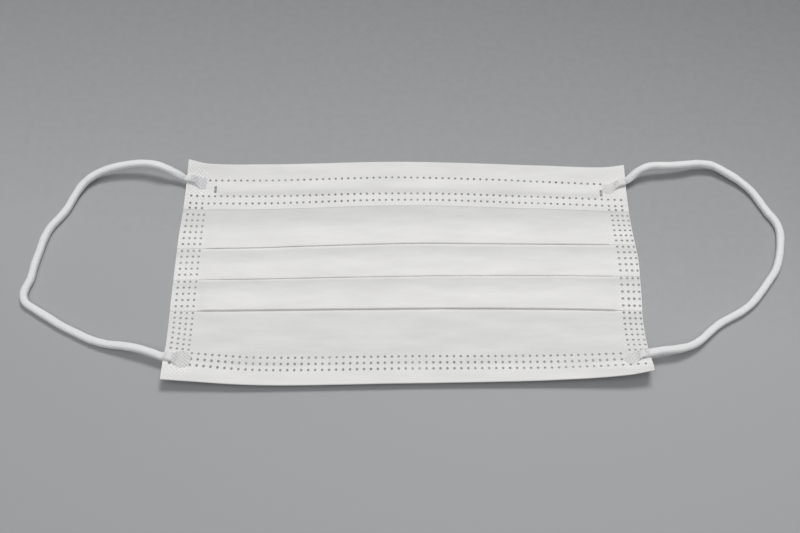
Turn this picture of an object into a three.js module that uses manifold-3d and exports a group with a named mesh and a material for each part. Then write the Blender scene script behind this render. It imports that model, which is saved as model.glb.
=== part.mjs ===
import * as THREE from "three";
import { mergeVertices } from "three/addons/utils/BufferGeometryUtils.js";
import Module from "manifold-3d";

// A folded surgical face mask that lies on its inner side.
// Millimetres. +X runs along the nose edge, +Y from the chin edge to the nose edge, +Z out of the outer face.
// The origin is under the middle of the mask, on the surface that its closed pleats rest on.

// Cloth
const maskWidth = 175; // one side edge to the other
const maskHeight = 95; // nose edge to chin edge, with the pleats closed
const wall = 1; // the plies of nonwoven, as one cloth
const plyGap = 0.3; // between two layers that lie on each other
const halfWidth = maskWidth / 2;
const halfHeight = maskHeight / 2;

// Pleats, all folded towards the chin edge
const pleatCount = 3;
const firstFoldDrop = 37.9; // nose edge to the first fold edge
const pleatPitch = 13.9; // one fold edge to the next
const pleatDepth = 10.2; // cloth tucked in behind a fold edge
const climbRun = 5.4; // length over which the top panel climbs onto the first pleat

// Hems, turned over the two long edges onto the outer face
const noseHemDepth = 21;
const chinHemDepth = 6.8;
const hemCornerRadius = 0.8;

// Nose wire in its channel under the nose hem
const wireEndInset = 13; // side edge to the end of the wire
const wireWidth = 3;
const wireThickness = 0.8;
const wireDrop = 12.25; // nose edge to the middle of the wire
const wireShift = 0.8; // towards +X
const channelRun = 1.6; // length over which the hem climbs over the wire

// Side bands, where the pleats are pressed together and fused
const bandWidth = 10;
const bandPress = 0.6; // what is left of the height above the lowest layer
const bandRun = 5; // length over which the height is lost
const fuseInset = 1.2; // from the band's outline to the fused core

// Curl of the two long edges off the surface
const curlHeight = 6.4; // at the corner that lifts most
const curlStart = 22; // from the middle line to where the curl begins

// Bow of the cloth's lines in the plane of the mask
const bowDepth = 2.8;

// Ear loops and their welds
const cordDiameter = 2.7;
const cordSides = 8;
const cordSteps = 56;
const weldLength = 6.4;
const weldWidth = 6.2;
const weldThickness = 0.9;
const weldHeel = 1.1; // extra height where the flattened cord end meets the round cord
const weldInset = 2.7; // side edge to the weld
const noseWeldDrop = 10.5; // nose edge to the middle of a weld
const chinWeldRise = 7.7; // chin edge to the middle of a weld

// Spacing of sections and points
const sectionSpacing = 9;
const runSpacing = 5;
const turnSegments = 5;
const climbSegments = 5;

// Height of the curl at five places across the mask, as shares of curlHeight.
const curlRows = [
  { across: -1, nose: 0.69, chin: 0.7 },
  { across: -0.6, nose: 0.45, chin: 0.4 },
  { across: 0, nose: 0.44, chin: 0.34 },
  { across: 0.6, nose: 0.38, chin: 0.48 },
  { across: 1, nose: 0.41, chin: 1 },
];

// How far a line across the cloth bows towards the nose edge, as shares of bowDepth.
// A row for each line by its height on the mask, as a share of half the height.
const bowRows = [
  { up: 1, farLeft: -0.07, left: -0.5, right: -0.8, farRight: -0.65 },
  { up: 0.62, farLeft: -0.2, left: -0.6, right: -0.66, farRight: -0.95 },
  { up: 0.2, farLeft: -0.57, left: -0.35, right: -0.25, farRight: -0.35 },
  { up: -0.1, farLeft: -0.46, left: -0.25, right: -0.15, farRight: -0.25 },
  { up: -0.4, farLeft: -0.3, left: -0.15, right: -0.2, farRight: -0.45 },
  { up: -0.8, farLeft: 0.25, left: 0, right: 0.25, farRight: 0.45 },
  { up: -1, farLeft: 0.14, left: -0.25, right: 0.6, farRight: 1 },
];
const bowPlaces = [-1, -0.7, 0, 0.7, 1];

// Route of the ear loop at the -X side, from the nose corner to the chin corner.
const leftLoopRoute = [
  [-85.7, 37.3, 5.8],
  [-88, 38.5, 6.1],
  [-92.5, 40.9, 6.3],
  [-98, 43.4, 6.3],
  [-103.5, 44.5, 5.9],
  [-109.8, 44.4, 5.2],
  [-116.7, 43.3, 4.3],
  [-122.8, 41, 3.3],
  [-127.3, 37.2, 2.4],
  [-130.3, 31.4, 1.8],
  [-132.3, 26, 1.5],
  [-134.7, 21.8, 1.45],
  [-137.3, 17.8, 1.45],
  [-138.9, 13.4, 1.45],
  [-139.9, 7.1, 1.45],
  [-140.8, 1.2, 1.45],
  [-141.3, -5.1, 1.45],
  [-142.5, -9.3, 1.5],
  [-142.7, -12, 1.5],
  [-141.5, -14.9, 1.5],
  [-138.2, -17.3, 1.45],
  [-131.7, -21.3, 1.45],
  [-127.1, -24.2, 1.45],
  [-121.1, -27.3, 1.45],
  [-115, -30.2, 1.6],
  [-108.9, -32.2, 2.2],
  [-103, -33.3, 3.1],
  [-97, -34.7, 4],
  [-91.1, -36.8, 4.7],
  [-87.9, -38.1, 4.95],
  [-85.7, -38.3, 5],
];

// Route of the ear loop at the +X side, from the nose corner to the chin corner.
const rightLoopRoute = [
  [85.7, 35.5, 5.15],
  [87.8, 36.9, 5.4],
  [92.3, 40.8, 5.6],
  [97.3, 43.3, 5.4],
  [103.6, 43.8, 4.9],
  [110.5, 44.5, 4.4],
  [116.9, 45.5, 3.8],
  [122.7, 45, 3.2],
  [127.9, 42, 2.6],
  [132.9, 38.2, 2.1],
  [137.1, 33.4, 1.7],
  [139.8, 28.1, 1.5],
  [141.7, 24, 1.45],
  [144, 19.9, 1.45],
  [144.9, 15.5, 1.45],
  [144.2, 10, 1.45],
  [142.6, 3.8, 1.45],
  [140.2, -1.8, 1.45],
  [136.5, -6.8, 1.45],
  [132.6, -11.7, 1.45],
  [128.3, -16.3, 1.45],
  [123.9, -19.5, 1.45],
  [119.5, -21.9, 1.45],
  [115.7, -24.1, 1.5],
  [111.7, -27.3, 1.8],
  [107.7, -30.9, 2.3],
  [103.4, -33.6, 3],
  [98.1, -35.3, 4],
  [92.7, -36.4, 5.3],
  [88.2, -37.4, 5.8],
  [85.7, -37.7, 5.9],
];

const white = { color: 0xe6e5e1, roughness: 0.85, metalness: 0 };
const finishes = {
  cloth: white,
  hem: { ...white, color: 0xeceae6 },
  weld: { ...white, color: 0xdddbdd, roughness: 0.6 },
  cord: { ...white, color: 0xe3e6e9, roughness: 0.9 },
  wire: { ...white, color: 0xf0f0ee, roughness: 0.5 },
};

const wasm = await Module();
wasm.setup();

// Height of the middle of a layer, counted from the lowest one.
const layerHeight = (layer) => wall / 2 + layer * (wall + plyGap);
const turnRadius = (wall + plyGap) / 2;
const foldEdge = (pleat) => halfHeight - firstFoldDrop - pleat * pleatPitch;
const clothReach = halfHeight - wall - plyGap; // the hems wrap round the cloth's own edges
const wireEnd = halfWidth - wireEndInset;
const bandEdge = halfWidth - bandWidth;
const ease = (share) => THREE.MathUtils.smoothstep(share, 0, 1);

// A smooth curve through values at given places.
function smoothThrough(places, values, at) {
  const last = places.length - 1;
  const x = THREE.MathUtils.clamp(at, places[0], places[last]);
  const i = Math.min(places.findIndex((place, k) => k < last && x <= places[k + 1]), last - 1);
  const slope = (k) => {
    const a = Math.max(k - 1, 0);
    const b = Math.min(k + 1, last);
    return (values[b] - values[a]) / (places[b] - places[a]);
  };
  const span = places[i + 1] - places[i];
  const t = (x - places[i]) / span;
  const startPull = slope(i) * span;
  const endPull = slope(i + 1) * span;
  const rise = values[i + 1] - values[i];
  const second = 3 * rise - 2 * startPull - endPull;
  const third = startPull + endPull - 2 * rise;
  return values[i] + t * (startPull + t * (second + t * third));
}

// How far a point of the flat cloth is shifted along Y.
function bowAt(x, y) {
  const ups = bowRows.map((row) => row.up).reverse();
  const column = (name) => {
    const shares = bowRows.map((row) => row[name]).reverse();
    return smoothThrough(ups, shares, y / halfHeight);
  };
  const across = [column("farLeft"), column("left"), 0, column("right"), column("farRight")];
  return bowDepth * smoothThrough(bowPlaces, across, x / halfWidth);
}

// How far a point of the flat cloth is lifted off the surface.
function curlAt(x, y) {
  const past = (Math.abs(y) - curlStart) / (halfHeight - curlStart);
  if (past <= 0) return 0;
  const side = y > 0 ? "nose" : "chin";
  const shares = curlRows.map((row) => row[side]);
  const places = curlRows.map((row) => row.across);
  return curlHeight * smoothThrough(places, shares, x / halfWidth) * past * past;
}

// The height of a point of the cloth at full press, as in the side bands.
const pressedHeight = (z) => (z > wall ? wall + (z - wall) * bandPress : z);

// The height that such a point has at a place along X, where the layers may lie less pressed.
function relaxedHeight(x, z) {
  const intoBand = (Math.abs(x) - bandEdge) / bandRun + 1;
  const relief = THREE.MathUtils.lerp(1 / bandPress, 1, ease(intoBand));
  return z > wall ? wall + (z - wall) * relief : z;
}

// Moves every point of a geometry by a function of its place.
function moved(geometry, move) {
  const position = geometry.getAttribute("position");
  const point = new THREE.Vector3();
  for (let i = 0; i < position.count; i += 1) {
    point.fromBufferAttribute(position, i);
    move(point);
    position.setXYZ(i, point.x, point.y, point.z);
  }
  geometry.computeVertexNormals();
  return geometry;
}

// Gives a flat piece the bow and curl of the mask.
function draped(geometry) {
  return moved(geometry, (point) => {
    const lift = curlAt(point.x, point.y);
    point.y += bowAt(point.x, point.y);
    point.z += lift;
  });
}

// Places along X that start, turn and end at the given ones, with no long step between them.
function sectionsThrough(breaks) {
  const places = [breaks[0]];
  breaks.slice(1).forEach((to, i) => {
    const parts = Math.ceil((to - breaks[i]) / sectionSpacing);
    for (let k = 1; k <= parts; k += 1) places.push(THREE.MathUtils.lerp(breaks[i], to, k / parts));
  });
  return places;
}

// A sheet of cells across the mask: a box bent so that its columns stand at places along X
// and its rows follow a section in Y and Z, given as an upper and a lower list of points.
// The upper face can rise by a function of X.
function sheetAcross([upper, lower], places, rise = () => 0) {
  const columns = places.length - 1;
  const rows = upper.length - 1;
  const box = new THREE.BoxGeometry(columns, rows, 1, columns, rows, 1);
  return moved(box, (point) => {
    const x = places[Math.round(point.x + columns / 2)];
    const row = Math.round(point.y + rows / 2);
    if (point.z > 0) point.set(x, upper[row].x, upper[row].y + rise(x));
    else point.set(x, lower[row].x, lower[row].y);
  });
}

// Continues a path along Y at one height, with points close enough to follow the curl.
function addRun(path, toY, height) {
  const from = path[path.length - 1];
  const parts = Math.max(1, Math.round(Math.abs(toY - from.x) / runSpacing));
  for (let i = 1; i <= parts; i += 1) {
    path.push(new THREE.Vector2(THREE.MathUtils.lerp(from.x, toY, i / parts), height));
  }
}

// Continues a path round a fold, from one angle to another.
function addTurn(path, y, z, radius, startAngle, endAngle) {
  for (let i = 0; i <= turnSegments; i += 1) {
    const angle = THREE.MathUtils.lerp(startAngle, endAngle, i / turnSegments);
    path.push(new THREE.Vector2(y + radius * Math.cos(angle), z + radius * Math.sin(angle)));
  }
}

// The middle line of the pleated cloth, worked out from the nose edge and turned round to run towards it.
function pleatedPath() {
  const path = [new THREE.Vector2(clothReach, layerHeight(0))];
  const upperTurn = (layerHeight(2) + layerHeight(1)) / 2;
  const lowerTurn = (layerHeight(1) + layerHeight(0)) / 2;
  const up = Math.PI / 2;
  for (let pleat = 0; pleat < pleatCount; pleat += 1) {
    const fold = foldEdge(pleat);
    const innerFold = fold + pleatDepth;
    const climbTo = innerFold - wall / 2;
    const climbFrom = pleat === 0 ? climbTo + climbRun : foldEdge(pleat - 1) + wall / 2 + turnRadius;
    addRun(path, climbFrom, layerHeight(0));
    for (let i = 1; i <= climbSegments; i += 1) {
      const share = i / climbSegments;
      const height = THREE.MathUtils.lerp(layerHeight(0), layerHeight(2), ease(share));
      path.push(new THREE.Vector2(THREE.MathUtils.lerp(climbFrom, climbTo, share), height));
    }
    addTurn(path, fold + wall / 2 + turnRadius, upperTurn, turnRadius, up, 3 * up);
    addTurn(path, innerFold - wall / 2 - turnRadius, lowerTurn, turnRadius, up, -up);
  }
  addRun(path, -clothReach, layerHeight(0));
  return path.reverse();
}

// The upper and lower face of a cloth of one wall round its middle line.
function facesOf(path) {
  const normal = (a, b) => new THREE.Vector2(a.y - b.y, b.x - a.x).normalize();
  const offset = (side) => path.map((point, i) => {
    const before = i > 0 ? normal(path[i - 1], point) : normal(point, path[i + 1]);
    const after = i < path.length - 1 ? normal(point, path[i + 1]) : before;
    const mitre = before.clone().add(after).normalize();
    return point.clone().addScaledVector(mitre, side * wall / 2 / mitre.dot(before));
  });
  return [offset(1), offset(-1)];
}

function solidOf(geometry) {
  const bare = geometry.clone();
  bare.deleteAttribute("normal");
  bare.deleteAttribute("uv");
  const merged = mergeVertices(bare);
  return new wasm.Manifold(
    new wasm.Mesh({
      numProp: 3,
      vertProperties: merged.getAttribute("position").array,
      triVerts: new Uint32Array(merged.index.array),
    }),
  );
}

function geometryOf(solid) {
  const mesh = solid.getMesh();
  const geometry = new THREE.BufferGeometry();
  geometry.setAttribute("position", new THREE.BufferAttribute(mesh.vertProperties, 3));
  geometry.setIndex(new THREE.BufferAttribute(mesh.triVerts, 1));
  geometry.computeVertexNormals();
  return geometry;
}

// The cores of the side bands, which fuse the three layers of each pleat.
function fusedCores() {
  const cores = [];
  const low = layerHeight(0);
  const high = pressedHeight(layerHeight(2));
  for (let pleat = 0; pleat < pleatCount; pleat += 1) {
    for (const side of [-1, 1]) {
      const core = new THREE.BoxGeometry(bandWidth - 2 * fuseInset, pleatDepth - 3 * fuseInset, high - low);
      const y = foldEdge(pleat) + pleatDepth / 2;
      cores.push(core.translate(side * (halfWidth - bandWidth / 2), y, (low + high) / 2));
    }
  }
  return cores;
}

function pleatedPanel() {
  const faces = facesOf(pleatedPath());
  faces.flat().forEach((point) => {
    point.y = pressedHeight(point.y);
  });
  const breaks = [-halfWidth, -bandEdge, bandRun - bandEdge, bandEdge - bandRun, bandEdge, halfWidth];
  const sheet = moved(sheetAcross(faces, sectionsThrough(breaks)), (point) => {
    point.z = relaxedHeight(point.x, point.z);
  });
  let panel = solidOf(draped(sheet));
  fusedCores().forEach((core) => {
    panel = panel.add(solidOf(draped(core)));
  });
  return geometryOf(panel);
}

// The middle line of a hem on the +Y side: along the outer face, then down round the edge of the cloth.
function hemPath(depth, stops) {
  const path = [new THREE.Vector2(halfHeight - depth, layerHeight(1))];
  const edge = halfHeight - wall / 2;
  const corner = layerHeight(1) - hemCornerRadius;
  stops.forEach((y) => addRun(path, y, layerHeight(1)));
  addRun(path, edge - 2 * hemCornerRadius, layerHeight(1));
  addTurn(path, edge - hemCornerRadius, corner, hemCornerRadius, Math.PI / 2, 0);
  path.push(new THREE.Vector2(edge, 0));
  return path;
}

function noseHem() {
  const wireY = halfHeight - wireDrop;
  const flatHalf = wireWidth / 2 + plyGap / 2;
  const rampEnd = flatHalf + channelRun;
  const stops = [-rampEnd, -flatHalf, flatHalf, rampEnd].map((offset) => wireY + offset);
  const faces = facesOf(hemPath(noseHemDepth, stops));
  const flatEnd = wireEnd + plyGap;
  const breaks = [-flatEnd - channelRun, -flatEnd, flatEnd, flatEnd + channelRun].map((x) => x + wireShift);
  const places = sectionsThrough([-halfWidth, ...breaks, halfWidth]);
  const hem = moved(sheetAcross(faces, places), (point) => {
    const sideways = (Math.abs(point.y - wireY) - flatHalf) / channelRun;
    const lengthways = (Math.abs(point.x - wireShift) - flatEnd) / channelRun;
    const climb = (1 - ease(sideways)) * (1 - ease(lengthways));
    point.z += (wireThickness + plyGap) * climb;
  });
  return draped(hem);
}

// Turns a list of points in Y and Z over to the other long edge.
const turnedOver = (points) => points.map((point) => new THREE.Vector2(-point.x, point.y)).reverse();

function chinHem() {
  const faces = facesOf(turnedOver(hemPath(chinHemDepth, [])));
  return draped(sheetAcross(faces, sectionsThrough([-halfWidth, halfWidth])));
}

function noseWire() {
  const bottom = wall + plyGap;
  const face = (height) => [-0.5, 0.5].map(
    (share) => new THREE.Vector2(halfHeight - wireDrop + share * wireWidth, height),
  );
  const places = sectionsThrough([wireShift - wireEnd, wireShift + wireEnd]);
  return draped(sheetAcross([face(bottom + wireThickness), face(bottom)], places));
}

// The flattened cord end, fused onto the outer face at one corner.
// Its underside steps off the end of a short hem.
function loopWeld(side, edge) {
  const middle = halfHeight - (edge > 0 ? noseWeldDrop : chinWeldRise);
  const hemEnd = halfHeight - (edge > 0 ? noseHemDepth : chinHemDepth) - plyGap;
  const onHem = layerHeight(1) + wall / 2 + plyGap;
  const onCloth = wall + plyGap;
  const stepEnd = hemEnd - weldThickness;
  const inner = middle - weldWidth / 2;
  const outer = middle + weldWidth / 2;
  const floorAt = (y) => new THREE.Vector2(y, y > hemEnd ? onHem : onCloth);
  let floor = [floorAt(inner), floorAt(outer)];
  let roof = floor.map((point) => new THREE.Vector2(point.x, point.y + weldThickness));
  if (inner < stepEnd && hemEnd < outer) {
    floor.splice(1, 0, new THREE.Vector2(hemEnd, onCloth), new THREE.Vector2(hemEnd, onHem));
    const roofStep = [onCloth, onHem].map((z) => new THREE.Vector2(stepEnd, z + weldThickness));
    roof.splice(1, 0, ...roofStep);
  }
  if (edge < 0) {
    floor = turnedOver(floor);
    roof = turnedOver(roof);
  }
  const cordEnd = halfWidth - weldInset;
  const heelEnd = cordEnd - weldLength / 2;
  const places = [cordEnd - weldLength, heelEnd, cordEnd].map((x) => side * x).sort((a, b) => a - b);
  return draped(sheetAcross([roof, floor], places, (x) => (Math.abs(x) > heelEnd ? weldHeel : 0)));
}

function earLoop(route) {
  const points = route.map(([x, y, z]) => new THREE.Vector3(x, y, z));
  const curve = new THREE.CatmullRomCurve3(points, false, "centripetal");
  const section = new THREE.Shape();
  for (let i = 0; i < cordSides; i += 1) {
    const angle = (i / cordSides) * 2 * Math.PI;
    const x = (cordDiameter / 2) * Math.cos(angle);
    const y = (cordDiameter / 2) * Math.sin(angle);
    if (i === 0) section.moveTo(x, y);
    else section.lineTo(x, y);
  }
  return new THREE.ExtrudeGeometry(section, { extrudePath: curve, steps: cordSteps });
}

function named(name, geometry, finish) {
  const mesh = new THREE.Mesh(geometry, new THREE.MeshStandardMaterial(finishes[finish]));
  mesh.name = name;
  return mesh;
}

const mask = new THREE.Group();
mask.add(
  named("pleated_panel", pleatedPanel(), "cloth"),
  named("nose_hem", noseHem(), "hem"),
  named("chin_hem", chinHem(), "hem"),
  named("nose_wire", noseWire(), "wire"),
  named("loop_weld_nose_left", loopWeld(-1, 1), "weld"),
  named("loop_weld_nose_right", loopWeld(1, 1), "weld"),
  named("loop_weld_chin_left", loopWeld(-1, -1), "weld"),
  named("loop_weld_chin_right", loopWeld(1, -1), "weld"),
  named("ear_loop_left", earLoop(leftLoopRoute), "cord"),
  named("ear_loop_right", earLoop(rightLoopRoute), "cord"),
);

export default mask;
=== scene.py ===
import math

import bmesh
import bpy
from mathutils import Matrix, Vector, noise


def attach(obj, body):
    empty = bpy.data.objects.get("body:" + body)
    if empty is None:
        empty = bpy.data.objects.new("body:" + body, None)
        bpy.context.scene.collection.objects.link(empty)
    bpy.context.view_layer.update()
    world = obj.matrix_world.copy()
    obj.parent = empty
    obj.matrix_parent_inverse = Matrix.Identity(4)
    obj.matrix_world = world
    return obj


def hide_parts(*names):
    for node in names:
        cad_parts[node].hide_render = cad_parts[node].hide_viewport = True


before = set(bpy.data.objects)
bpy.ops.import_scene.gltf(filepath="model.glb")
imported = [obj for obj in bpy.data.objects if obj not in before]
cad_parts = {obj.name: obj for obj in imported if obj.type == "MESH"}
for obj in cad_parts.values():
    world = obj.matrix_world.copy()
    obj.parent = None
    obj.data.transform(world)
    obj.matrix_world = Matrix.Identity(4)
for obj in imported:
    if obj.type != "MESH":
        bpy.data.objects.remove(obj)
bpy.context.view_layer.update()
scene = bpy.context.scene
mm = 0.001  # the shapes below are worked out in millimetres
print("frame loaded")


# the camera's angle to the mask, with places in millimetres and angles in degrees
view = {"place": (-2.25, -183.7, 337.75), "tilt": 28.67, "turn": -0.08, "lens": 45.43}


def makeCamera():
    data = bpy.data.cameras.new("camera")
    data.lens = view["lens"]
    data.sensor_width = 36
    data.clip_start = 0.01
    camera = bpy.data.objects.new("camera", data)
    camera.location = [value * mm for value in view["place"]]
    camera.rotation_euler = (math.radians(view["tilt"]), 0, math.radians(view["turn"]))
    scene.collection.objects.link(camera)
    scene.camera = camera


makeCamera()
print("camera placed")


cloth = {
    "width": 175,
    "height": 95,
    "ply": 0.38,
    "gap": 0.05,
    "curl": 6.4,  # how high the nose and chin edges would stand up at a share of 1
    "curlStart": 22,  # this far off the middle line
    "bandLeft": 9.6,  # side bands, where the pleats are pressed flat
    "bandRight": 7.8,
    "bandRun": 3.6,
    "sideFrom": 72,  # where the side edges begin to stand out
    "sideRun": 15,
    "ripple": 0.3,  # unevenness of the lying cloth
}
halfWidth = cloth["width"] / 2
halfHeight = cloth["height"] / 2
curlPlaces = (-1, -0.6, 0, 0.6, 1)
curlShares = {"nose": (0.69, 0.45, 0.44, 0.38, 0.41), "chin": (0.7, 0.4, 0.34, 0.48, 1)}
bowPlaces = (-1, -0.9, -0.6, 0, 0.6, 0.9, 1)
# how far the cloth lies up or down, in mm, with a row for each height from the chin edge at -1
# to the nose edge at 1, and a value for each of bowPlaces
bowShifts = {
    -1: (0.28, -0.18, -1.17, -0.38, 0.42, 1.34, 2.7),
    -0.884: (2, 1.25, -0.5, 0.11, 0.17, 0.66, 1.1),
    -0.79: (2.5, 1.75, 0.05, 0.55, 0.65, 1.08, 1.27),
    -0.6: (1.9, 0.5, 0.1, 0.62, 0.65, 0.5, 0.4),
    -0.383: (0.1, 0, 0.21, 0.71, 0.65, 0, -0.27),
    -0.09: (-0.92, -0.78, -0.41, 0.67, 0.88, 0.56, 0.46),
    0.202: (-1.33, -1.18, -0.65, 1, 0.58, 0.42, 0.34),
    0.59: (-0.04, -0.44, -0.23, 1.38, -0.29, -1.51, -1.82),
    0.68: (0.16, -0.33, -0.24, 1.04, -0.67, -1.96, -2.27),
    0.836: (-0.89, -1.2, -0.92, 0.5, -1.41, -2.89, -3.19),
    1: (-0.3, -2.2, -1.8, -0.5, -2.1, -3.2, -2.1),
}
bowHeights = tuple(bowShifts)
sideHeights = (-1, -0.91, -0.74, -0.42, -0.2, 0.09, 0.32, 0.48, 0.75, 1)
sideShift = {  # how far the side edges stand out, in mm, at each of sideHeights
    "left": (-0.5, -0.3, -0.2, 0.05, 0.1, 0.1, 0, -0.3, -0.8, -1.4),
    "right": (0.4, 0.9, 0.5, 0.4, 1.1, 1.5, 0.7, 0.4, 0.1, 0),
}
ripples = {  # the weight, the reach along X and Y in mm, and a layer of the noise
    "broad": (0.75, 26, 13, 3.1),
    "fine": (0.3, 9, 6, 8.4),
    "crinkle": (0.16, 4.5, 3, 1.7),
}


def ease(share):
    share = max(0, min(1, share))
    return share * share * (3 - 2 * share)


def lerp(a, b, share):
    return a + (b - a) * share


def smoothThrough(knots, values, at):  # a smooth curve through the values at the knots
    last = len(knots) - 1
    at = max(knots[0], min(knots[last], at))
    i = next(k for k in range(last) if at <= knots[k + 1] or k == last - 1)

    def slope(k):
        a, b = max(k - 1, 0), min(k + 1, last)
        return (values[b] - values[a]) / (knots[b] - knots[a])

    span = knots[i + 1] - knots[i]
    t = (at - knots[i]) / span
    rise = values[i + 1] - values[i]
    first, second = slope(i) * span, slope(i + 1) * span
    bend = 3 * rise - 2 * first - second
    twist = first + second - 2 * rise
    return values[i] + t * (first + t * (bend + t * twist))


def bowAt(x, y):
    across = []
    for shifts in zip(*bowShifts.values()):
        across.append(smoothThrough(bowHeights, shifts, y / halfHeight))
    return smoothThrough(bowPlaces, across, x / halfWidth)


def curlAt(x, y):
    past = (abs(y) - cloth["curlStart"]) / (halfHeight - cloth["curlStart"])
    if past <= 0:
        return 0
    shares = curlShares["nose" if y > 0 else "chin"]
    return cloth["curl"] * smoothThrough(curlPlaces, shares, x / halfWidth) * past * past


def rippleAt(x, y):
    uneven = 0.75
    for weight, alongX, alongY, layer in ripples.values():
        uneven += weight * noise.noise(Vector((x / alongX, y / alongY, layer)))
    return cloth["ripple"] * uneven


def drape(point):  # from the flat mask to the mask as it lies
    x, y = point.x, point.y
    out = sideShift["left" if x < 0 else "right"]
    outward = ease((abs(x) - cloth["sideFrom"]) / cloth["sideRun"])
    shift = smoothThrough(sideHeights, out, y / halfHeight) * outward
    point.z += curlAt(x, y) + rippleAt(x, y)
    point.y += bowAt(x, y)
    point.x += shift if x > 0 else -shift


def layerTop(layer):
    return cloth["ply"] + layer * (cloth["ply"] + cloth["gap"])


# a cell of a grid is pressed in where its column and its row share a kind
kinds = {"band": 1, "row": 2, "square": 4, "outer": 8}
hem = {
    "ply": 0.16,
    "noseDepth": 21,
    "chinDepth": 6.8,
    "noseRows": ((27.15, kinds["outer"]), (29.1, kinds["band"]), (32.2, kinds["band"]), (39.7, kinds["row"])),
    "chinRow": -42,
    "turnSteps": 7,
    "under": 1.6,  # turned under the edge
    "edgePress": 0.06,  # how far the raw edge is pressed down, and over what width
    "edgeRun": 1.5,
    "spacing": 1.6,
}
wire = {
    "y": 35.25,
    "width": 3,
    "thickness": 0.55,
    "ends": (-73.7, 75.3),
    "lift": 0.03,  # over the cloth
    "climb": 1.2,  # the run of the channel's sides
    "rise": 0.75,
    "marks": (-75, 77.5),  # the square marks at the ends
    "markRows": (36.1, 34.4),
    "markHalf": 0.78,
}


def hemTop():
    return layerTop(0) + cloth["gap"] + hem["ply"]


def faceHeight(y):  # of the flat mask, on a hem or off it
    onHem = y > halfHeight - hem["noseDepth"] or y < hem["chinDepth"] - halfHeight
    return hemTop() if onHem else layerTop(0)


def newMesh(bm, name, materials, sharp=180):
    bmesh.ops.scale(bm, vec=(mm, mm, mm), verts=bm.verts)
    bm.normal_update()
    mesh = bpy.data.meshes.new(name)
    bm.to_mesh(mesh)
    bm.free()
    for material in materials:
        mesh.materials.append(material)
    for polygon in mesh.polygons:
        polygon.use_smooth = True
    mesh.set_sharp_from_angle(angle=math.radians(sharp))
    piece = bpy.data.objects.new(name, mesh)
    scene.collection.objects.link(piece)
    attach(piece, "root")
    return piece


def spacedStops(start, end, cells, spacing):
    # places from start to end, going down, with a cell for each dot and even steps between
    marks = [(start, 0)]
    for middle, half, kind in sorted(cells, reverse=True):
        marks += [(middle + half, kind), (middle - half, 0)]
    marks.append((end, 0))
    out = []
    for (here, kind), (there, _) in zip(marks, marks[1:]):
        parts = 1 if kind else max(1, math.ceil((here - there) / spacing))
        out += [(lerp(here, there, i / parts), kind) for i in range(parts)]
    return out + [(end, 0)]


def halfTurn(y, z, radius, steps, way):
    # rows round half a turn from its top on: way 1 goes round the side towards the chin, -1 round the other
    turn = []
    for i in range(steps + 1):
        angle = math.pi * (0.5 + way * i / steps)
        turn.append((y + radius * math.cos(angle), z + radius * math.sin(angle), 0))
    return turn


def clothGrid(columns, rows, thickness):
    # a sheet of cells: columns are (x, kind), rows are (y, z, kind), both from high to low
    bm = bmesh.new()
    bmesh.ops.create_grid(bm, x_segments=len(columns) - 1, y_segments=len(rows) - 1, size=0.5)
    dot = bm.faces.layers.int.new("dot")
    for face in bm.faces:
        middle = face.calc_center_median()
        i = int((middle.x + 0.5) * (len(columns) - 1))
        j = int((middle.y + 0.5) * (len(rows) - 1))
        face[dot] = columns[i][1] & rows[j][2]
    for vertex in bm.verts:
        i = round((vertex.co.x + 0.5) * (len(columns) - 1))
        j = round((vertex.co.y + 0.5) * (len(rows) - 1))
        vertex.co = (columns[i][0], rows[j][0], rows[j][1])
    bm.normal_update()
    bmesh.ops.solidify(bm, geom=bm.faces[:], thickness=thickness)
    return bm


pit = {"rim": 0.1, "dip": 0.02, "wall": 0.12, "depth": 0.075}


def pressPits(bm):
    # presses in the marked cells of the upper face, as round dots or as the square marks
    bm.normal_update()
    dot = bm.faces.layers.int["dot"]
    cells = [face for face in bm.faces if face[dot] and face.normal.z > 0.3]
    rounds = [face for face in cells if face[dot] != kinds["square"]]
    squares = [face for face in cells if face[dot] == kinds["square"]]
    bmesh.ops.inset_individual(bm, faces=rounds, thickness=pit["rim"], depth=-pit["dip"])
    bmesh.ops.inset_individual(bm, faces=squares, thickness=pit["rim"] / 2, depth=-pit["dip"])
    edges = {edge for face in rounds for edge in face.edges}
    bmesh.ops.bisect_edges(bm, edges=list(edges), cuts=1)
    for face in rounds:
        middle = face.calc_center_median()
        wide = max(abs(vertex.co.x - middle.x) for vertex in face.verts)
        deep = max(abs(vertex.co.y - middle.y) for vertex in face.verts)
        for vertex in face.verts:
            x, y = (vertex.co.x - middle.x) / wide, (vertex.co.y - middle.y) / deep
            reach = math.hypot(x, y)
            vertex.co.x = middle.x + x / reach * wide
            vertex.co.y = middle.y + y / reach * deep
    for face in cells:
        face.material_index = 1
    bmesh.ops.inset_individual(bm, faces=cells, thickness=pit["wall"], depth=-pit["depth"])


def sweep(bm, rings):
    # joins rings of the same number of points into a tube with closed ends
    loop = bmesh.ops.create_circle(bm, segments=len(rings[0]), radius=1)["verts"]
    first = loop
    for vertex, place in zip(loop, rings[0]):
        vertex.co = place
    for ring in rings[1:]:
        edges = [bm.edges.get((loop[i - 1], loop[i])) for i in range(len(loop))]
        made = bmesh.ops.extrude_edge_only(bm, edges=edges)["geom"]
        fresh = {vertex for vertex in made if isinstance(vertex, bmesh.types.BMVert)}
        loop = [next(e.other_vert(v) for e in v.link_edges if e.other_vert(v) in fresh) for v in loop]
        for vertex, place in zip(loop, ring):
            vertex.co = place
    for end in (first, loop):
        bm.faces.new(end)
    bmesh.ops.recalc_face_normals(bm, faces=bm.faces[:])


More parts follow.
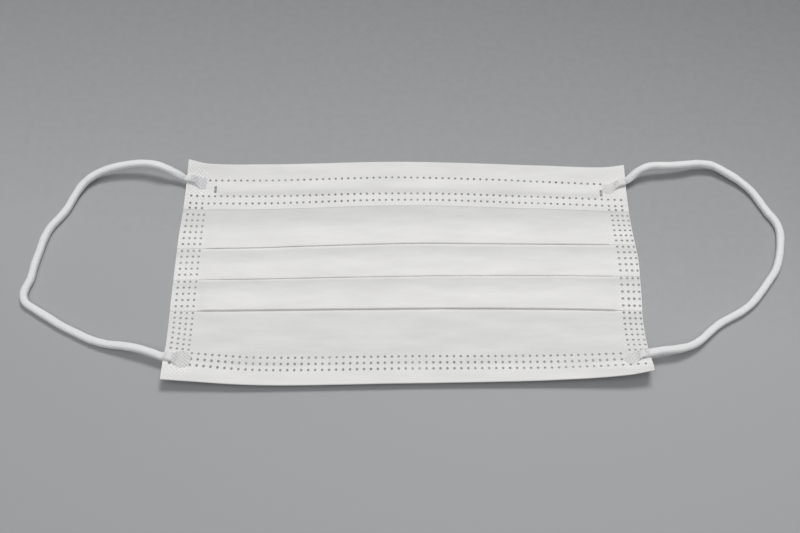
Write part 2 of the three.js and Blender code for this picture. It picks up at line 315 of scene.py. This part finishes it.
def newMaterial(name, roughness, sheen=0.0):
    material = bpy.data.materials.new(name)
    material.use_nodes = True
    nodes, links = material.node_tree.nodes, material.node_tree.links
    shader = nodes["Principled BSDF"]
    shader.inputs["Roughness"].default_value = roughness
    shader.inputs["Sheen Weight"].default_value = sheen
    shader.inputs["Specular IOR Level"].default_value = 0.3
    return material, nodes, links, shader


def node(nodes, kind, **values):
    made = nodes.new(kind)
    for name, value in values.items():
        if name in made.inputs:
            made.inputs[name].default_value = value
        else:
            setattr(made, name, value)
    return made


def textureAt(nodes, links, place, kind, output, **values):
    made = node(nodes, kind, **values)
    links.new(place, made.inputs["Vector"])
    return made.outputs[output]


def remap(nodes, links, value, low, high, span=(0, 1)):
    # the span becomes low to high, each of which is a number or the output of another node
    made = node(nodes, "ShaderNodeMapRange")
    links.new(value, made.inputs["Value"])
    made.inputs["From Min"].default_value, made.inputs["From Max"].default_value = span
    for name, end in (("To Min", low), ("To Max", high)):
        if isinstance(end, bpy.types.NodeSocket):
            links.new(end, made.inputs[name])
        else:
            made.inputs[name].default_value = end
    return made.outputs["Result"]


def mixOf(nodes, links, share, first, second):
    made = node(nodes, "ShaderNodeMix", data_type="FLOAT")
    made.inputs["Factor"].default_value = share
    links.new(first, made.inputs["A"])
    links.new(second, made.inputs["B"])
    return made.outputs["Result"]


def colourBy(nodes, links, shader, value, *stops):
    # stops are places from 0 to 1 with the colour there
    tone = node(nodes, "ShaderNodeValToRGB")
    elements = tone.color_ramp.elements
    for _ in stops[2:]:
        elements.new(0.5)
    for element, (place, colour) in zip(elements, stops):
        element.position = place
        element.color = (*colour, 1)
    links.new(value, tone.inputs["Fac"])
    links.new(tone.outputs["Color"], shader.inputs["Base Color"])


def bumpBy(nodes, links, shader, value, strength, distance, invert=False):
    bump = node(nodes, "ShaderNodeBump", Strength=strength, Distance=distance, invert=invert)
    links.new(value, bump.inputs["Height"])
    links.new(bump.outputs["Normal"], shader.inputs["Normal"])


def nonwoven(name, thin, thick, bumpDepth):
    # painted shade: thin is the colour of one ply over the floor, darkened as the grey floor shows through
    # and shade falls below each fold edge, thick of several plies
    material, nodes, links, shader = newMaterial(name, 0.88, 0.08)
    place = node(nodes, "ShaderNodeTexCoord").outputs["Object"]
    plyShade = node(nodes, "ShaderNodeAttribute", attribute_name="plyShade").outputs["Fac"]
    emboss = node(nodes, "ShaderNodeAttribute", attribute_name="emboss").outputs["Fac"]

    # painted shade: the white is mixed towards the darker thin colour where the painted ply shade is low
    shadedWhite = node(nodes, "ShaderNodeMix", data_type="RGBA")
    shadedWhite.inputs["A"].default_value = (*thin, 1)
    shadedWhite.inputs["B"].default_value = (*thick, 1)
    links.new(plyShade, shadedWhite.inputs["Factor"])

    drift = textureAt(nodes, links, place, "ShaderNodeMapping", "Vector", Scale=(0.7, 3.6, 1))
    cloud = textureAt(nodes, links, drift, "ShaderNodeTexNoise", "Fac", Scale=60, Detail=5, Roughness=0.62)
    shade = remap(nodes, links, cloud, 0.935, 1.045, span=(0.3, 0.7))

    # the bonding points show more where the cloth is embossed, and their surroundings make up for the dark
    turned = textureAt(nodes, links, place, "ShaderNodeMapping", "Vector", Rotation=(0, 0, 0.8))
    points = textureAt(nodes, links, turned, "ShaderNodeTexVoronoi", "Distance",
                       voronoi_dimensions="2D", Scale=880, Randomness=0.35)
    depth = remap(nodes, links, emboss, 0.985, 0.74)
    crest = remap(nodes, links, emboss, 1.002, 1.1)
    speck = remap(nodes, links, points, depth, crest, span=(0, 0.45))

    both = node(nodes, "ShaderNodeMath", operation="MULTIPLY")
    links.new(shade, both.inputs[0])
    links.new(speck, both.inputs[1])
    tint = node(nodes, "ShaderNodeVectorMath", operation="SCALE")
    links.new(shadedWhite.outputs["Result"], tint.inputs[0])
    links.new(both.outputs[0], tint.inputs["Scale"])
    links.new(tint.outputs[0], shader.inputs["Base Color"])

    fibres = textureAt(nodes, links, place, "ShaderNodeTexNoise", "Fac",
                       Scale=1500, Detail=5, Roughness=0.7, Distortion=1.2)
    height = node(nodes, "ShaderNodeMath", operation="MULTIPLY_ADD")
    links.new(points, height.inputs[0])
    links.new(remap(nodes, links, emboss, 0.3, 1), height.inputs[1])
    links.new(fibres, height.inputs[2])
    bumpBy(nodes, links, shader, height.outputs[0], 0.5, bumpDepth)
    return material


def fusedSpots(name, dark, light):
    # the thin film of a weld dot lets some of the dark below through
    material, nodes, links, shader = newMaterial(name, 0.45)
    place = node(nodes, "ShaderNodeTexCoord").outputs["Object"]
    patch = textureAt(nodes, links, place, "ShaderNodeTexNoise", "Fac", Scale=45, Detail=6, Roughness=0.75)
    colourBy(nodes, links, shader, patch, (0.33, dark), (0.66, light))
    return material


def pressedWeld(name, light, dark):
    # flattened elastic with a fine slanting lattice of pressed points
    material, nodes, links, shader = newMaterial(name, 0.6)
    place = node(nodes, "ShaderNodeTexCoord").outputs["Object"]
    turned = textureAt(nodes, links, place, "ShaderNodeMapping", "Vector", Rotation=(0, 0, 0.7))
    points = textureAt(nodes, links, turned, "ShaderNodeTexVoronoi", "Distance",
                       voronoi_dimensions="2D", Scale=950, Randomness=0.2)
    specks = textureAt(nodes, links, place, "ShaderNodeTexNoise", "Fac", Scale=1400, Detail=3)
    blend = mixOf(nodes, links, 0.3, points, specks)
    colourBy(nodes, links, shader, blend, (0.2, dark), (0.5, light))
    bumpBy(nodes, links, shader, blend, 0.45, 0.00012)
    return material


def knit(name, light, dark, soak):
    # fine slanting ribs round the cord, on the tube's own map: once round is 1, along is in cord widths
    material, nodes, links, shader = newMaterial(name, 0.85, 0.15)
    shader.inputs["Subsurface Weight"].default_value = soak  # light soaks through the loose yarn
    shader.inputs["Subsurface Radius"].default_value = (1, 1, 1)
    shader.inputs["Subsurface Scale"].default_value = 0.003
    along = node(nodes, "ShaderNodeUVMap", uv_map="UVMap").outputs["UV"]
    stretch = textureAt(nodes, links, along, "ShaderNodeMapping", "Vector", Scale=(10, 3.4, 1))
    ribs = textureAt(nodes, links, stretch, "ShaderNodeTexVoronoi", "Distance", Scale=1, Randomness=0.3)
    place = node(nodes, "ShaderNodeTexCoord").outputs["Object"]
    fuzz = textureAt(nodes, links, place, "ShaderNodeTexNoise", "Fac", Scale=900, Detail=4)
    blend = mixOf(nodes, links, 0.4, ribs, fuzz)
    colourBy(nodes, links, shader, blend, (0.2, light), (0.75, dark))
    bumpBy(nodes, links, shader, blend, 0.5, 0.0002, invert=True)
    return material


# the first colour of each cloth is its white darkened by painted shade, for one ply over the floor and below
# the fold edges
clothWhite = nonwoven("clothWhite", (0.7, 0.695, 0.68), (0.835, 0.825, 0.805), 0.00006)
hemWhite = nonwoven("hemWhite", (0.785, 0.775, 0.755), (0.825, 0.815, 0.795), 0.00006)
fusedGrey = fusedSpots("fusedGrey", (0.22, 0.22, 0.22), (0.44, 0.435, 0.43))
fusedDark = fusedSpots("fusedDark", (0.16, 0.16, 0.16), (0.4, 0.395, 0.39))
cordWhite = knit("cordWhite", (0.88, 0.875, 0.87), (0.76, 0.76, 0.755), 0.9)
pressedCord = knit("pressedCord", (0.81, 0.797, 0.795), (0.72, 0.71, 0.708), 0)
wireWhite = nonwoven("wireWhite", (0.8, 0.8, 0.79), (0.8, 0.8, 0.79), 0.00002)
print("materials made")


cord = {
    "diameter": 2.7,
    "fluff": 1.05,  # how much wider the yarn stands out, and how unevenly
    "uneven": 0.07,
    "unevenRun": 3,
    "sides": 16,
    "boxy": 2.8,
    "spacing": 0.8,
    "settle": 15,  # over this length an end comes down onto the cloth
    "flatRun": 3,  # and over this one it is pressed flat, to this width and height
    "flatWide": 3,
    "flatHigh": 1.9,
    "sink": 0.1,
}
# both routes run from the nose edge to the chin edge, as the cord's middle in mm
leftRoute = [
    (-85.7, 37.3, 5.8), (-88, 38.5, 6.1), (-92.5, 40.9, 6.3), (-98, 43.4, 6.3), (-103.5, 44.5, 5.9),
    (-109.8, 44.4, 5.2), (-116.7, 43.3, 4.3), (-122.8, 41, 3.3), (-127.3, 37.2, 2.4),
    (-130.3, 31.4, 1.8), (-132.3, 26, 1.5), (-134.7, 21.8, 1.45), (-137.3, 17.8, 1.45),
    (-138.9, 13.4, 1.45), (-139.9, 7.1, 1.45), (-140.8, 1.2, 1.45), (-141.3, -5.1, 1.45),
    (-142.5, -9.3, 1.5), (-142.7, -12, 1.5), (-141.5, -14.9, 1.5), (-138.2, -17.3, 1.45),
    (-131.7, -21.3, 1.45), (-127.1, -24.2, 1.45), (-121.1, -27.3, 1.45), (-115, -30.2, 1.6),
    (-108.9, -32.2, 2.2), (-103, -33.3, 3.1), (-97, -34.7, 4), (-91.1, -36.8, 4.7),
    (-87.9, -38.1, 4.95), (-85.7, -38.3, 5),
]
rightRoute = [
    (85.7, 35.5, 5.15), (87.8, 36.9, 5.4), (92.3, 40.8, 5.6), (97.3, 43.3, 5.4), (103.6, 43.8, 4.9),
    (110.5, 44.5, 4.4), (116.9, 45.5, 3.8), (122.7, 45, 3.2), (127.9, 42, 2.6), (132.9, 38.2, 2.1),
    (137.1, 33.4, 1.7), (139.8, 28.1, 1.5), (141.7, 24, 1.45), (144, 19.9, 1.45),
    (144.9, 15.5, 1.45), (144.2, 10, 1.45), (142.6, 3.8, 1.45), (140.2, -1.8, 1.45),
    (136.5, -6.8, 1.45), (132.6, -11.7, 1.45), (128.3, -16.3, 1.45), (123.9, -19.5, 1.45),
    (119.5, -21.9, 1.45), (115.7, -24.1, 1.5), (111.7, -27.3, 1.8), (107.7, -30.9, 2.3),
    (103.4, -33.6, 3), (98.1, -35.3, 4), (92.7, -36.4, 5.3), (88.2, -37.4, 5.8), (85.7, -37.7, 5.9),
]


def smoothRoute(route, spacing):
    # an even run of points on a smooth curve through the route
    points = [Vector(point) for point in route]
    points = [2 * points[0] - points[1], *points, 2 * points[-1] - points[-2]]
    dense = []
    for a, b, c, d in zip(points, points[1:], points[2:], points[3:]):
        before, here, after = (math.sqrt((q - p).length) for p, q in ((a, b), (b, c), (c, d)))
        start = ((b - a) / before - (c - a) / (before + here) + (c - b) / here) * here
        end = ((c - b) / here - (d - b) / (here + after) + (d - c) / after) * here
        for k in range(20):
            t = k / 20
            bend = (3 * (c - b) - 2 * start - end) + (start + end - 2 * (c - b)) * t
            dense.append(b + t * (start + t * bend))
    dense.append(points[-2])
    lengths = [0]
    for p, q in zip(dense, dense[1:]):
        lengths.append(lengths[-1] + (q - p).length)
    count = round(lengths[-1] / spacing)
    even, k = [], 0
    for i in range(count + 1):
        reach = lengths[-1] * i / count
        while k < len(dense) - 2 and lengths[k + 1] < reach:
            k += 1
        share = (reach - lengths[k]) / (lengths[k + 1] - lengths[k])
        even.append(dense[k].lerp(dense[k + 1], min(1, share)))
    return even, lengths[-1]


def ringRound(middle, ahead, wide, high, sides, square=2.0):
    # an upright ring across the way ahead, from round (2) to boxy (6)
    ahead = ahead.normalized()
    across = ahead.cross(Vector((0, 0, 1))).normalized()
    up = across.cross(ahead)
    ring = []
    for i in range(sides):
        angle = 2 * math.pi * i / sides
        c, s = math.cos(angle), math.sin(angle)
        flat = math.copysign(abs(c) ** (2 / square), c) * wide / 2
        tall = math.copysign(abs(s) ** (2 / square), s) * high / 2
        ring.append(middle + across * flat + up * tall)
    return ring


def clothHeight(x, y):  # of the lying cloth's face at a place seen from above
    flatY = y - bowAt(x, y)
    return faceHeight(flatY) + curlAt(x, flatY) + rippleAt(x, flatY)


def wrapKnit(bm, sides):
    # the knit's map on a swept tube: once round is 1, along is in cord widths
    uv = bm.loops.layers.uv.new("UVMap")
    bm.verts.index_update()
    for face in bm.faces:
        places = [loop.vert.index % sides for loop in face.loops]
        wraps = max(places) - min(places) > 2
        for loop, place in zip(face.loops, places):
            around = place + (sides if wraps and place < 2 else 0)
            along = loop.vert.index // sides * cord["spacing"] / cord["diameter"]
            loop[uv].uv = (around / sides, along)


def makeLoop(name, route, replaced):
    path, length = smoothRoute(route, cord["spacing"])
    rise = cord["flatHigh"] / 2 - cord["sink"]
    drops = [end.z - clothHeight(end.x, end.y) - rise for end in (path[0], path[-1])]
    rings = []
    for i, point in enumerate(path):
        done = length * i / (len(path) - 1)
        # both ends come down along the line of sight, so that they keep their place in the view
        for drop, away in zip(drops, (done, length - done)):
            sight = point - Vector(view["place"])
            point -= sight / sight.z * drop * ease(1 - away / cord["settle"])
        flat = ease(1 - min(done, length - done) / cord["flatRun"])
        bulge = 1 + cord["uneven"] * noise.noise(point / cord["unevenRun"])
        thick = cord["diameter"] * cord["fluff"] * bulge
        wide, high = lerp(thick, cord["flatWide"], flat), lerp(thick, cord["flatHigh"], flat)
        ahead = path[min(i + 1, len(path) - 1)] - path[max(i - 1, 0)]
        rings.append(ringRound(point, ahead, wide, high, cord["sides"], cord["boxy"]))
    bm = bmesh.new()
    sweep(bm, rings)
    wrapKnit(bm, cord["sides"])
    piece = newMesh(bm, name, [cordWhite])
    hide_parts(replaced)
    return path


leftPath = makeLoop("earLoopLeft", leftRoute, "ear_loop_left")
rightPath = makeLoop("earLoopRight", rightRoute, "ear_loop_right")
print("ear loops made")


pleats = {
    "count": 3,
    "firstFold": 9.6,  # the uppermost fold edge
    "pitch": 13.9,
    "depth": 10.2,
    "climb": (5.4, 4.2, 4.2),  # the run in which the cloth rises over each closed pleat
    "inHem": 0.7,  # the cloth's own edges end this far inside the mask's
    "spacing": 1.9,
    "turnSteps": 5,
    "full": (0.7, 0.6, 1.15),  # how far each pleat stands up in the middle of the mask
    "fused": (0.32, 0.3, 0.3),  # and in the side bands, where each ply stays thicker than a dot is deep
}
dots = {
    "half": 0.57,  # of the cell that a dot is pressed into
    "pitch": 2.5,
    "bandLeft": (-78.9, -81.1, -83.25, -85.5),
    "bandRight": (80.8, 82.85, 84.8, 86.75),
    "bandRuns": ((24.4, 11.6, 6), (8.8, -1.9, 5), (-5, -16.1, 5), (-18.9, -35.8, 8)),  # first, last, count
    "chinRows": (-37.4, -39.7),
    "inner": 31,  # columns on each side of the middle, between the bands and on a whole hem
    "whole": 34,
}


def foldEdge(k):
    return pleats["firstFold"] - k * pleats["pitch"]


def pressed(x, y, z):  # the layers above the lowest lie flatter in the side bands
    k = next((k for k in range(pleats["count"]) if y > foldEdge(k) - 0.8), pleats["count"] - 1)
    band = cloth["bandLeft" if x < 0 else "bandRight"]
    intoBand = (abs(x) - halfWidth + band) / cloth["bandRun"] + 1
    keep = lerp(pleats["full"][k], pleats["fused"][k], ease(intoBand))
    return cloth["ply"] + (z - cloth["ply"]) * keep if z > cloth["ply"] else z


def bandDots():
    places = []
    for first, last, count in dots["bandRuns"]:
        places += [lerp(first, last, i / (count - 1)) for i in range(count)]
    return places


def rowDots(reach):
    return [dots["pitch"] * k for k in range(-reach, reach + 1)]


def clothColumns():
    cells = [(x, dots["half"], kinds["band"]) for x in dots["bandLeft"] + dots["bandRight"]]
    cells += [(x, dots["half"], kinds["row"]) for x in rowDots(dots["inner"])]
    cells = [(x, min(half, halfWidth - 0.2 - abs(x)), kind) for x, half, kind in cells]
    return spacedStops(halfWidth, -halfWidth, cells, 2)


def clothRows():
    ply, gap = cloth["ply"], cloth["gap"]
    outer, inner = ply + gap / 2, gap / 2  # radii of the outer face in the two turns of a pleat
    cells = [(y, dots["half"], kinds["band"]) for y in bandDots()]
    cells += [(y, dots["half"], kinds["row"]) for y in dots["chinRows"]]
    rows = []
    start = halfHeight - pleats["inHem"]
    for k, climb in enumerate(pleats["climb"]):
        hidden = foldEdge(k) + pleats["depth"]
        climbFrom = hidden + climb
        seen = start if k == 0 else foldEdge(k - 1) - 0.1
        end = foldEdge(k) + outer
        shown = [cell for cell in cells if end < cell[0] - cell[1] and cell[0] + cell[1] < seen]
        for y, kind in spacedStops(start, end, shown, pleats["spacing"])[:-1]:
            rise = ease((climbFrom - y) / (climbFrom - hidden))
            rows.append((y, lerp(layerTop(0), layerTop(2), rise), kind))
        rows += halfTurn(end, layerTop(2) - outer, outer, pleats["turnSteps"], 1)  # round the fold edge
        back = hidden - ply - gap
        rows += [(lerp(end, back, i / 4), ply + gap, 0) for i in range(1, 4)]  # and back under it
        rows += halfTurn(back, ply + inner, inner, pleats["turnSteps"], -1)
        start = back - 0.8
    end = pleats["inHem"] - halfHeight
    last = [cell for cell in cells if cell[0] + cell[1] < foldEdge(pleats["count"] - 1)]
    rows += [(y, layerTop(0), kind) for y, kind in spacedStops(start, end, last, pleats["spacing"])]
    return rows


plyShadeReach = {"lowest": 0.4, "past": 4, "run": 9}  # painted shade: how far the lighter colour over a closed pleat reaches above it and fades out, leaving the cloth darker just below each fold edge


def plyShadeAt(y):
    # painted shade: 0 where one ply lies over the floor, darkest just below each fold edge, 1 over a closed
    # pleat or under a hem
    share = plyShadeReach["lowest"] if y < foldEdge(pleats["count"] - 1) else 0
    for k in range(pleats["count"]):
        fold = foldEdge(k)
        above = fold + pleats["depth"] + plyShadeReach["past"]
        if fold - 0.3 < y < above:
            share = max(share, ease((above - y) / plyShadeReach["run"]))
    return share


embossed = {
    "welds": (  # the middle, the half size and the depth of the pressed area round each loop weld
        (-82, 38, 3.3, 6.2, 1),
        (81, 37, 3.2, 3.4, 0.3),
        (-80.8, -41.2, 3.6, 4.2, 0.9),
        (81.2, -40.6, 3.2, 3.6, 0.5),
    ),
    "weldRun": 0.3,  # in shares of the half size
    "rows": ((30.6, 4), (39.7, 1.5), (-39.7, 4.2)),  # the middle and the reach of each group of dot rows
    "rowDepth": 0.3,
    "rowRun": 1.5,
    "band": 77,  # from here out
    "bandDepth": 0.35,
    "bandRun": 2.5,
}


def embossAt(x, y):
    # how rough the cloth is pressed: fully round the loop welds, lightly in the side bands and dot rows
    rough = embossed["bandDepth"] * ease((abs(x) - embossed["band"]) / embossed["bandRun"])
    for row, reach in embossed["rows"]:
        rough = max(rough, embossed["rowDepth"] * ease((reach - abs(y - row)) / embossed["rowRun"]))
    for middleX, middleY, wide, high, deep in embossed["welds"]:
        past = max(abs(x - middleX) / wide, abs(y - middleY) / high)
        rough = max(rough, deep * ease((1.2 - past) / embossed["weldRun"]))
    return rough


# paint stores the painted ply shade and the emboss on each vertex
def paint(bm, plyShadeOf):
    plyShade = bm.verts.layers.float.new("plyShade")
    emboss = bm.verts.layers.float.new("emboss")
    for vertex in bm.verts:
        vertex[plyShade] = plyShadeOf(vertex.co.y)
        vertex[emboss] = embossAt(vertex.co.x, vertex.co.y)


def makeCloth():
    bm = clothGrid(clothColumns(), clothRows(), cloth["ply"])
    paint(bm, plyShadeAt)
    for vertex in bm.verts:
        vertex.co.z = pressed(*vertex.co)
        drape(vertex.co)
    pressPits(bm)
    piece = newMesh(bm, "pleatedCloth", [clothWhite, fusedGrey], 50)
    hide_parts("pleated_panel")
    return piece


pleatedCloth = makeCloth()
print("pleated cloth made,", len(pleatedCloth.data.polygons), "faces")


def hemTurn(edge):
    # from the upper face round the edge to the underside, for the nose edge
    top, low = hemTop(), -cloth["gap"] - hem["ply"]
    radius, middle = (top - low) / 2, (top + low) / 2
    turn = halfTurn(edge - radius, middle, radius, hem["turnSteps"], -1)
    return turn + [(edge - radius - hem["under"], low, 0)]


def channelHeight(x, y):
    sideways = (abs(y - wire["y"]) - wire["width"] / 2) / wire["climb"]
    past = max(wire["ends"][0] - x, x - wire["ends"][1])
    return wire["rise"] * (1 - ease(sideways)) * (1 - ease(past / wire["climb"]))


def makeNoseHem():
    flat = hemTop()
    cells = [(y, dots["half"], kind) for y, kind in hem["noseRows"]]
    cells += [(y, wire["markHalf"], kinds["square"]) for y in wire["markRows"]]
    start = halfHeight - (flat + cloth["gap"] + hem["ply"]) / 2
    rows = list(reversed(hemTurn(halfHeight)))
    rawEdge = halfHeight - hem["noseDepth"]
    for y, kind in spacedStops(start, rawEdge, cells, hem["spacing"])[1:]:
        rows.append((y, flat - hem["edgePress"] * ease(1 - (y - rawEdge) / hem["edgeRun"]), kind))
    columns = []
    for x in rowDots(dots["whole"]):
        kind = kinds["band"] | kinds["row" if x in rowDots(dots["inner"]) else "outer"]
        columns.append((x, dots["half"], kind | (kinds["square"] if x in wire["marks"] else 0)))
    bm = clothGrid(spacedStops(halfWidth, -halfWidth, columns, 2), rows, hem["ply"])
    # painted shade: the whole nose hem takes this share of the lighter colour
    paint(bm, lambda y: 0.5)
    for vertex in bm.verts:
        if vertex.co.z > 0.25:  # not what is turned under
            vertex.co.z += channelHeight(vertex.co.x, vertex.co.y)
        drape(vertex.co)
    pressPits(bm)
    piece = newMesh(bm, "noseHem", [hemWhite, fusedDark], 50)
    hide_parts("nose_hem")
    return piece


def makeChinHem():
    flat = hemTop()
    turn = [(-y, z, kind) for y, z, kind in hemTurn(halfHeight)]
    start = hem["chinDepth"] - halfHeight
    end = (flat + cloth["gap"] + hem["ply"]) / 2 - halfHeight
    rows = spacedStops(start, end, [(hem["chinRow"], dots["half"], kinds["band"])], hem["spacing"])
    rows = [(y, flat, kind) for y, kind in rows[:-1]] + turn
    columns = [(x, dots["half"], kinds["band"]) for x in rowDots(dots["whole"])]
    bm = clothGrid(spacedStops(halfWidth, -halfWidth, columns, 2), rows, hem["ply"])
    # painted shade: the whole chin hem takes this share of the lighter colour
    paint(bm, lambda y: 0.7)
    for vertex in bm.verts:
        drape(vertex.co)
    pressPits(bm)
    piece = newMesh(bm, "chinHem", [hemWhite, fusedGrey], 50)
    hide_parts("chin_hem")
    return piece


def makeNoseWire():
    columns = spacedStops(wire["ends"][1], wire["ends"][0], [], 3)
    top = layerTop(0) + wire["lift"] + wire["thickness"]
    half = wire["width"] / 2
    rows = [(y, top, 0) for y, _ in spacedStops(wire["y"] + half, wire["y"] - half, [], 0.5)]
    bm = clothGrid(columns, rows, wire["thickness"])
    for vertex in bm.verts:
        drape(vertex.co)
    piece = newMesh(bm, "noseWire", [wireWhite])
    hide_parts("nose_wire")
    return piece


noseHem = makeNoseHem()
chinHem = makeChinHem()
noseWire = makeNoseWire()
print("hems made,", len(noseHem.data.polygons), "and", len(chinHem.data.polygons), "faces")


weld = {
    "thickness": 0.22,
    "sides": 28,
    "steps": 8,
    "start": 85.3,
    "knitTo": 84,  # the cord's own knit shows up to here
    "follow": 0.14,  # how far a weld follows the cord's way in
    "collar": ((1.1, 0.93), (0.2, 1.02)),  # how far out over the cord, and how wide beside it
    "wider": 1.03,  # than the cord's end, where the two meet
    "higher": 1.04,
    "flatFrom": 0.12,  # in shares of the weld's length
    "flatRun": 0.34,
    "round": 1.7,
}
# the CAD node, the cord's end, the patch's middle and width along Y, its inner end, squareness and colours;
# the colours are the pressed elastic's tone with painted shade for how each corner is lit
welds = {
    "weldNoseLeft": (
        "loop_weld_nose_left", leftPath[:2], 38.2, 5.6, -78.8, 8,
        (0.7, 0.69, 0.7), (0.47, 0.46, 0.49)
    ),
    "weldNoseRight": (
        "loop_weld_nose_right", rightPath[:2], 37.6, 4.4, 78.1, 6,
        (0.73, 0.72, 0.7), (0.58, 0.57, 0.555)
    ),
    "weldChinLeft": (
        "loop_weld_chin_left", leftPath[:-3:-1], -40, 6.4, -77.5, 3,
        (0.74, 0.735, 0.72), (0.5, 0.5, 0.5)
    ),
    "weldChinRight": (
        "loop_weld_chin_right", rightPath[:-3:-1], -39.6, 4.4, 78.5, 4,
        (0.75, 0.74, 0.725), (0.56, 0.555, 0.55)
    ),
}


def makeWeld(name, replaced, end, y, width, inner, square, light, dark):
    side = math.copysign(1, inner)
    start, out = end[0], (end[1] - end[0]).normalized()
    wide, high = cord["flatWide"], cord["flatHigh"]
    rings = [
        ringRound(start + out * reach, out * -1, wide * size, high * size, weld["sides"], cord["boxy"])
        for reach, size in weld["collar"]
    ]
    entry = start.y - bowAt(start.x, y)  # where the cord comes in, on the flat mask
    lead = -out.y / abs(out.x) * (weld["start"] - abs(inner)) * weld["follow"]
    for k in range(weld["steps"] + 1):
        share = k / weld["steps"]
        spread = ease((share - weld["flatFrom"]) / weld["flatRun"])
        x = side * lerp(weld["start"], abs(inner), share)
        narrowed = max(0, share - 0.5) * 1.98  # over the inner half
        taper = (1 - narrowed ** square) ** (1 / square)
        middle = Vector((x, smoothThrough((0, 0.2, 0.6, 1), (entry, entry + lead, y, y), share), 0))
        tall = lerp(high * weld["higher"], weld["thickness"], spread) * (1 if share < 1 else 0.5)
        across = lerp(wide * weld["wider"], width, spread) * taper
        boxy = lerp(cord["boxy"], weld["round"], spread)
        ring = ringRound(middle, Vector((-side, 0, 0)), across, tall, weld["sides"], boxy)
        for point in ring:
            level = max(faceHeight(point.y + step) for step in (-0.3, 0.3))
            point.z += level + max(tall * 0.3, tall / 2 - cord["sink"])
            drape(point)
        rings.append(ring)
    bm = bmesh.new()
    sweep(bm, rings)
    wrapKnit(bm, weld["sides"])
    for face in bm.faces:
        face.material_index = 1 if abs(face.calc_center_median().x) > weld["knitTo"] else 0
    piece = newMesh(bm, name, [pressedWeld(name + "White", light, dark), pressedCord])
    subdivision = piece.modifiers.new("soft", "SUBSURF")
    subdivision.levels = subdivision.render_levels = 1
    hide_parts(replaced)
    return piece


weldPieces = [makeWeld(name, *facts) for name, facts in welds.items()]
print("welds made")


room = {
    "floorHalf": 1500,
    "floorDrop": 0.05,
    # the turn of the floor's painted light falloff about the upright
    "floorShadeTurn": 0.17,
    "floorShadeSpan": (0.3, -0.2),  # painted light falloff, from the back to the front, in metres
    # the floor's grey along the painted light falloff, from the back to the front
    "floorGreys": ((0, (0.063, 0.065, 0.068)), (0.6, (0.392, 0.395, 0.4)), (1, (0.36, 0.363, 0.369))),
    "lights": {  # the place, the size and the power
        "ceilingPanel": ((0.16, 0.5, 1.1), (0.45, 0.32), 7.9),
        "roomPanel": ((-0.25, -0.5, 1.5), (1.5, 1.1), 9.3),
    },
    "around": (0.92, 0.95, 1),
    "aroundStrength": 0.18,
}


def greyFloor():
    # painted light falloff: a little darker towards the back
    material, nodes, links, shader = newMaterial("floorGrey", 0.6)
    place = node(nodes, "ShaderNodeTexCoord").outputs["Object"]
    grain = textureAt(nodes, links, place, "ShaderNodeTexNoise", "Fac", Scale=300, Detail=3)
    turn = (0, 0, room["floorShadeTurn"])
    turned = textureAt(nodes, links, place, "ShaderNodeMapping", "Vector", Rotation=turn)
    away = textureAt(nodes, links, turned, "ShaderNodeSeparateXYZ", "Y")
    paintedFalloff = remap(nodes, links, away, 0, 1, span=room["floorShadeSpan"])
    colourBy(nodes, links, shader, mixOf(nodes, links, 0.07, paintedFalloff, grain), *room["floorGreys"])
    return material


def makeFloor():
    bm = bmesh.new()
    bmesh.ops.create_grid(bm, x_segments=1, y_segments=1, size=room["floorHalf"])
    bmesh.ops.translate(bm, vec=(0, 0, -room["floorDrop"]), verts=bm.verts)
    bmesh.ops.scale(bm, vec=(mm, mm, mm), verts=bm.verts)
    mesh = bpy.data.meshes.new("floor")
    bm.to_mesh(mesh)
    bm.free()
    mesh.materials.append(greyFloor())
    floor = bpy.data.objects.new("floor", mesh)
    scene.collection.objects.link(floor)
    return floor


def makeLight(name, place, size, power):
    data = bpy.data.lights.new(name, "AREA")
    data.shape = "RECTANGLE"
    data.size, data.size_y = size
    data.energy = power
    light = bpy.data.objects.new(name, data)
    light.location = place
    light.rotation_euler = (-Vector(place)).to_track_quat("-Z", "Y").to_euler()  # towards the mask
    scene.collection.objects.link(light)


floor = makeFloor()
for name, facts in room["lights"].items():
    makeLight(name, *facts)
world = bpy.data.worlds.new("room")
world.use_nodes = True
sky = world.node_tree.nodes["Background"]
sky.inputs["Color"].default_value = (*room["around"], 1)
sky.inputs["Strength"].default_value = room["aroundStrength"]
scene.world = world
scene.view_settings.view_transform = "Standard"
print("floor and light made")
